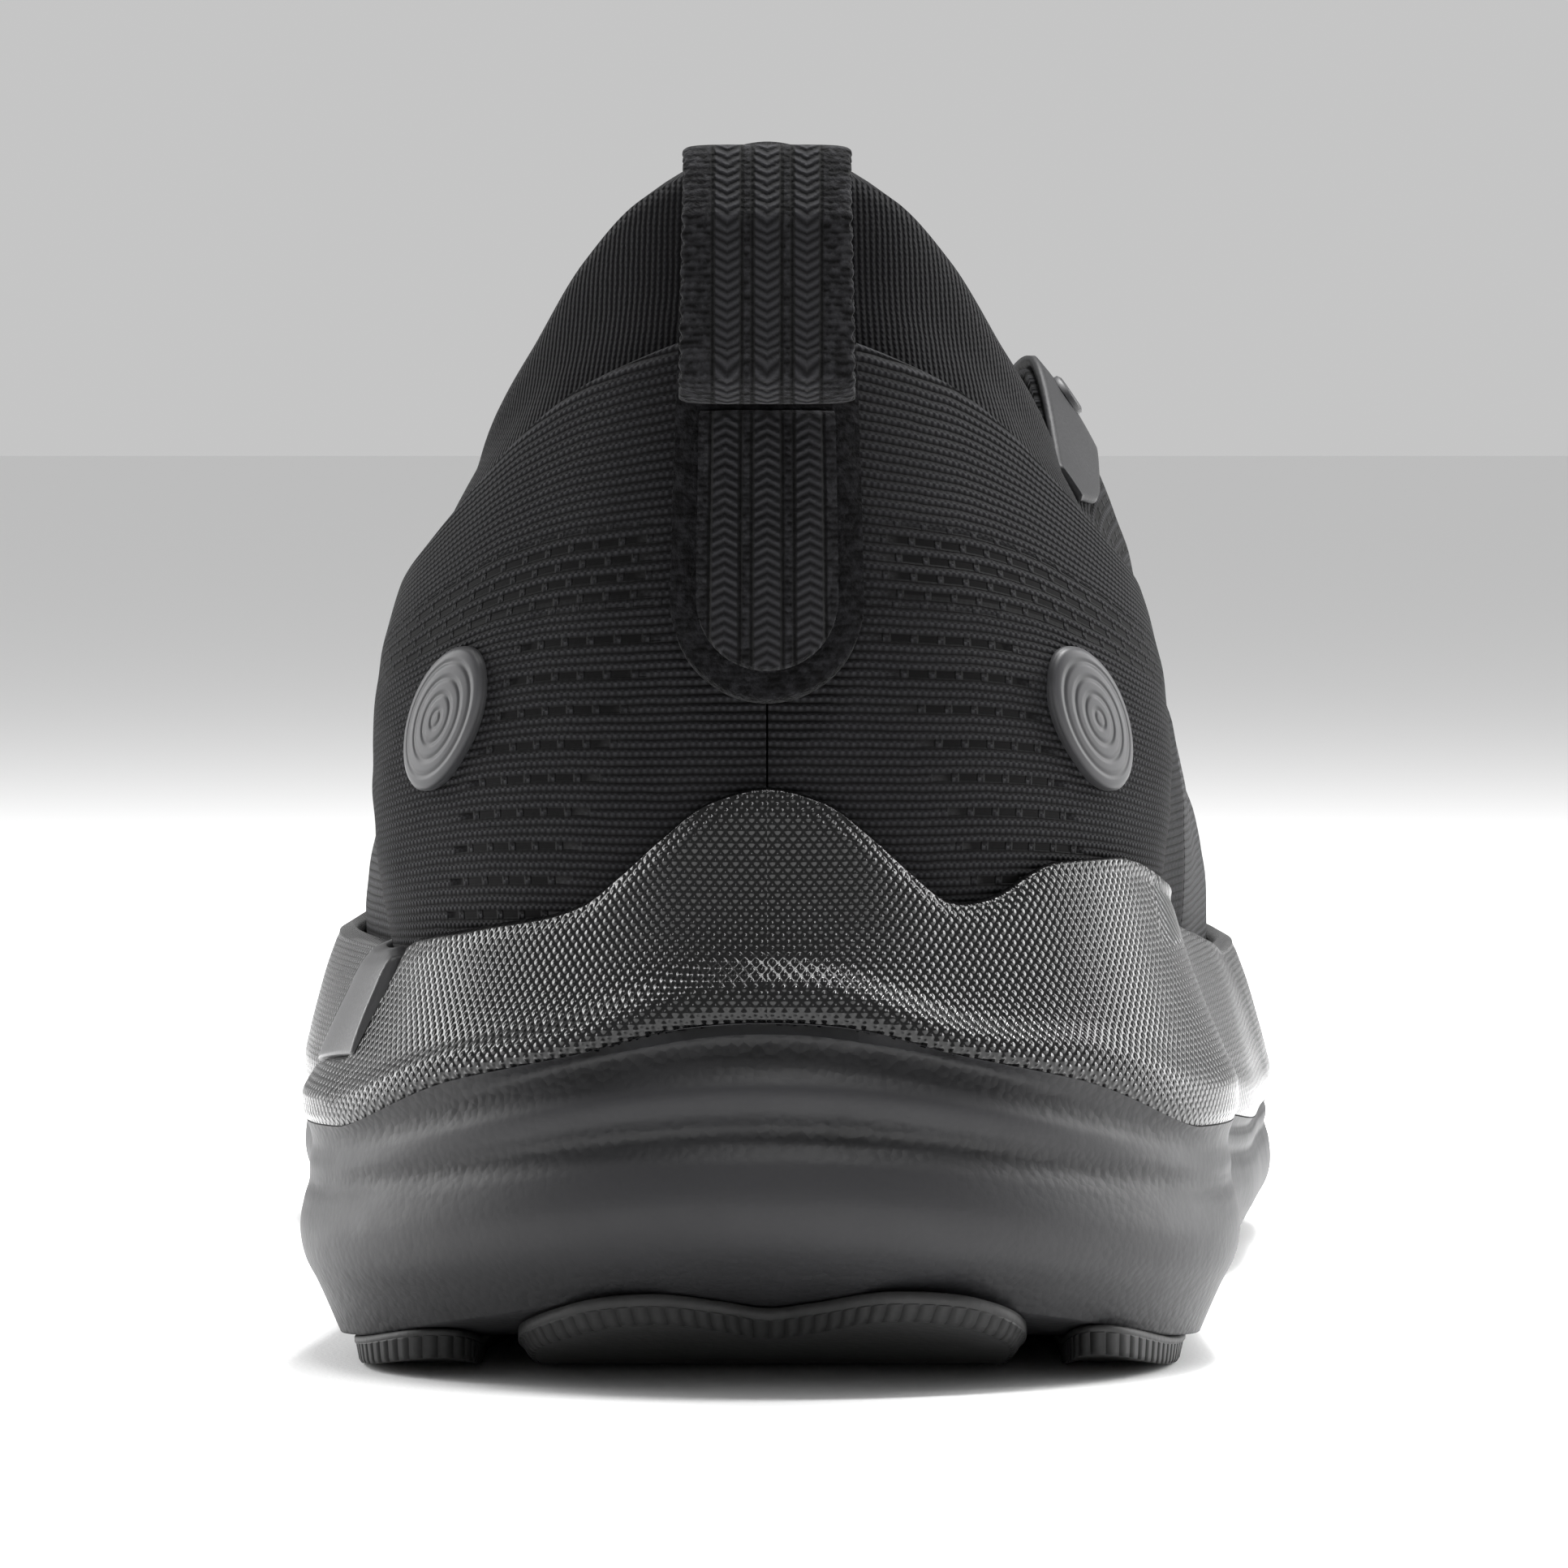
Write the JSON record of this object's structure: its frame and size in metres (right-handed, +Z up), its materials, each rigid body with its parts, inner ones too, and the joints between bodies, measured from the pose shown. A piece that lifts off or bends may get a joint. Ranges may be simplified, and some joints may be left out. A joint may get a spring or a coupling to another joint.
{
  "type": "running shoe",
  "caption": "Right running shoe with a thick sculpted foam sole, peaked heel cup, ribbed knit upper, padded collar and heel pull loop.",
  "frame": {"origin": "on the ground, at the middle of the shoe's length and width", "axes": "+Z up, +Y toward the toe, +X toward the outer side of a right shoe"},
  "size_m": [0.1164, 0.3, 0.1266],
  "materials": {
    "midsole_foam": "moulded foam skin, satin",
    "cup_foam": "embossed foam skin, satin gloss",
    "side_block_tpu": "smooth satin",
    "outsole_rubber": "matte fluted rubber",
    "ribbed_knit": "ribbed engineered knit",
    "collar_knit": "fine brushed knit",
    "lining_mesh": "soft lining mesh",
    "padding_foam": "open cell foam",
    "counter_board": "thermoformed sheet",
    "board_fabric": "stitched non-woven",
    "sockliner_fabric": "knit over foam",
    "webbing": "ribbed brushed webbing",
    "patch_tpu": "satin raised film",
    "overlay_film": "matte film"
  },
  "bodies": {
    "shoe": {"midsole_lower": "midsole_foam", "midsole_cradle": "cup_foam", "medial_side_block": "side_block_tpu", "outsole_heel_center": "outsole_rubber", "outsole_heel_medial": "outsole_rubber", "outsole_heel_lateral": "outsole_rubber", "outsole_forefoot_medial": "outsole_rubber", "outsole_forefoot_lateral": "outsole_rubber", "outsole_toe": "outsole_rubber", "strobel_board": "board_fabric", "heel_counter": "counter_board", "heel_lining": "lining_mesh", "collar_padding_lateral": "padding_foam", "collar_padding_medial": "padding_foam", "quarter_lateral": "ribbed_knit", "quarter_medial": "ribbed_knit", "vamp": "ribbed_knit", "ankle_collar": "collar_knit", "eyestay_lateral": "overlay_film", "eyestay_medial": "overlay_film", "toe_guard": "overlay_film", "heel_seam_tape": "lining_mesh", "heel_patch_lateral": "patch_tpu", "heel_patch_medial": "patch_tpu", "pull_tab_base": "webbing", "pull_tab_insert": "webbing"},
    "sockliner": {"sockliner": "sockliner_fabric"},
    "tongue": {"tongue": "collar_knit", "tongue_padding": "padding_foam"},
    "pull_loop": {"pull_loop": "webbing"}
  },
  "joints": [
    {"name": "sockliner_lift", "type": "hinge", "parent": "shoe", "child": "sockliner", "pos_m": [-0.00831, 0.12998, 0.0385], "axis": [-1, 0, 0], "range_deg": [0, 5]},
    {"name": "tongue_fold", "type": "hinge", "parent": "shoe", "child": "tongue", "pos_m": [-0.00071, 0.03698, 0.076], "axis": [1, 0, 0], "range_deg": [0, 7]},
    {"name": "pull_loop_swing", "type": "hinge", "parent": "shoe", "child": "pull_loop", "pos_m": [-0.00231, -0.13952, 0.1245], "axis": [-1, 0, 0], "range_deg": [0, 80]}
  ]
}
